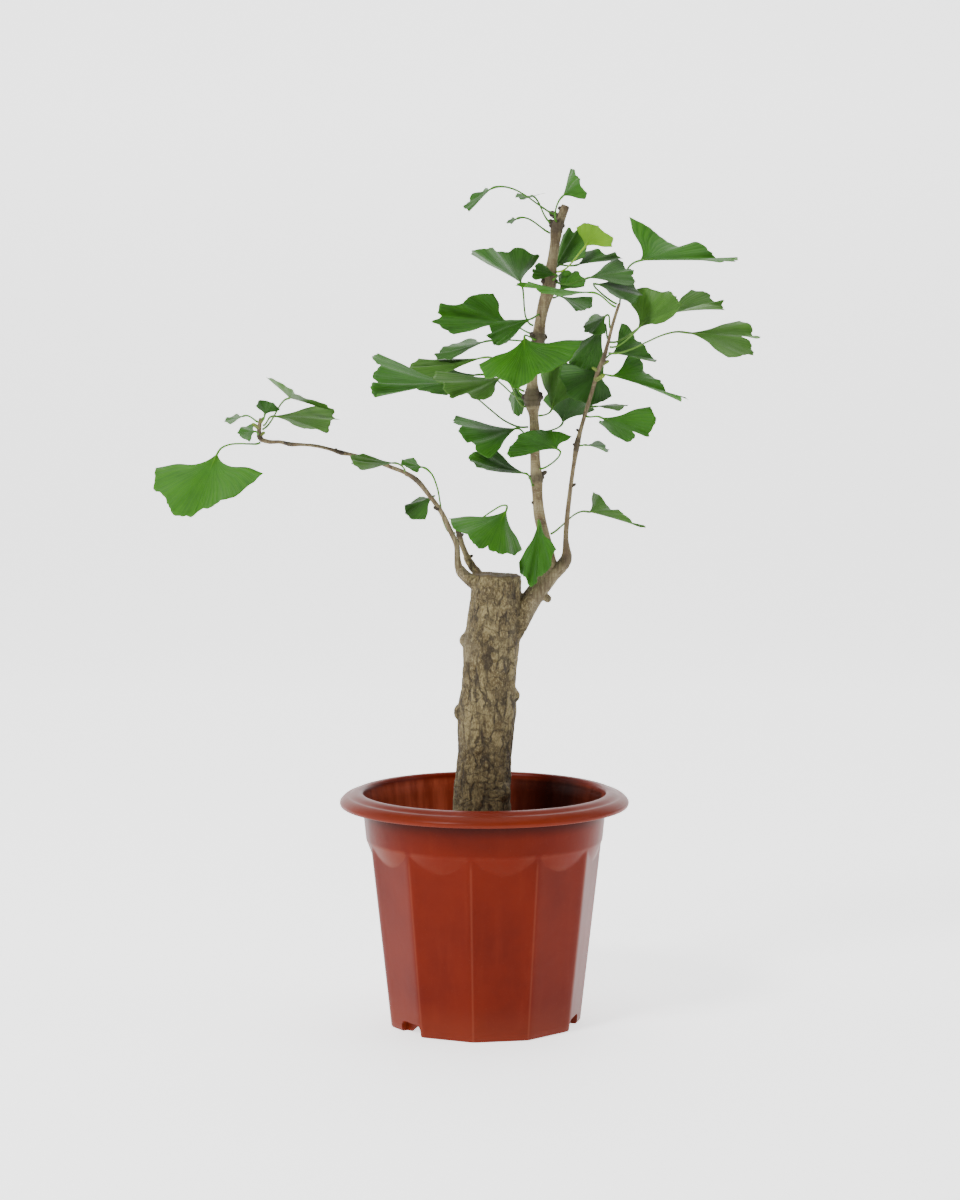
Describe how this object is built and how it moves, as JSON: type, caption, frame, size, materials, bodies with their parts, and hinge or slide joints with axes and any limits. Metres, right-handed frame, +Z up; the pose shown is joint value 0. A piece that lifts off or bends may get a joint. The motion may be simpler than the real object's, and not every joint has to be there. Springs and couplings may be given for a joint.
{
  "type": "potted ginkgo",
  "caption": "Young ginkgo with a cut-back trunk, thin shoots and fan-shaped leaves, growing in a faceted plastic nursery pot filled with soil.",
  "frame": {"origin": "on the pot's axis, in the plane of the surface that the pot rests on", "axes": "+Z up along the pot's axis; +X to the right of the pot as seen from its front, towards the side with the side shoot; -Y towards the front"},
  "size_m": [0.4062, 0.2, 0.5892],
  "materials": {
    "pot_plastic": "gloss",
    "potting_soil": "matte",
    "old_bark": "matte",
    "young_bark": "matte",
    "leaf_bright": "satin",
    "leaf_green": "satin",
    "leaf_dark": "satin",
    "leaf_pale": "matte",
    "leaf_young": "satin"
  },
  "bodies": {
    "root": {"leaf_fork_01": "leaf_bright", "leaf_fork_02": "leaf_green", "leaf_fork_03": "leaf_pale", "leaf_leader_01": "leaf_green", "leaf_leader_02": "leaf_green", "leaf_leader_03": "leaf_dark", "leaf_leader_04": "leaf_dark", "leaf_leader_05": "leaf_green", "leaf_leader_06": "leaf_pale", "leaf_leader_07": "leaf_pale", "leaf_leader_08": "leaf_bright", "leaf_leader_09": "leaf_dark", "leaf_leader_10": "leaf_green", "leaf_leader_11": "leaf_green", "leaf_leader_12": "leaf_dark", "leaf_leader_13": "leaf_green", "leaf_leader_14": "leaf_dark", "leaf_leader_15": "leaf_green", "leaf_leader_16": "leaf_dark", "leaf_leader_17": "leaf_young", "leaf_leader_18": "leaf_dark", "leaf_leader_19": "leaf_dark", "leaf_leader_20": "leaf_dark", "leaf_left_01": "leaf_bright", "leaf_left_02": "leaf_green", "leaf_left_03": "leaf_green", "leaf_left_04": "leaf_green", "leaf_left_05": "leaf_pale", "leaf_left_06": "leaf_pale", "leaf_left_07": "leaf_pale", "leaf_left_08": "leaf_green", "leaf_left_09": "leaf_dark", "leaf_shoot_01": "leaf_bright", "leaf_shoot_02": "leaf_dark", "leaf_shoot_03": "leaf_pale", "leaf_shoot_04": "leaf_pale", "leaf_shoot_05": "leaf_green", "leaf_shoot_06": "leaf_pale", "leaf_shoot_07": "leaf_dark", "leaf_shoot_08": "leaf_green", "leaf_shoot_09": "leaf_dark", "leaf_shoot_10": "leaf_dark", "leaf_shoot_11": "leaf_pale", "leaf_shoot_12": "leaf_green", "leaf_shoot_13": "leaf_pale", "leaf_shoot_14": "leaf_bright", "leaf_shoot_15": "leaf_green", "leaf_shoot_16": "leaf_dark", "leaf_top_01": "leaf_green", "leaf_top_02": "leaf_green", "leaf_top_03": "leaf_bright", "leaf_top_04": "leaf_green", "left_branch": "young_bark", "left_twig": "young_bark", "pot": "pot_plastic", "right_stem": "young_bark", "side_shoot": "young_bark", "soil": "potting_soil", "trunk": "old_bark"}
  },
  "joints": []
}
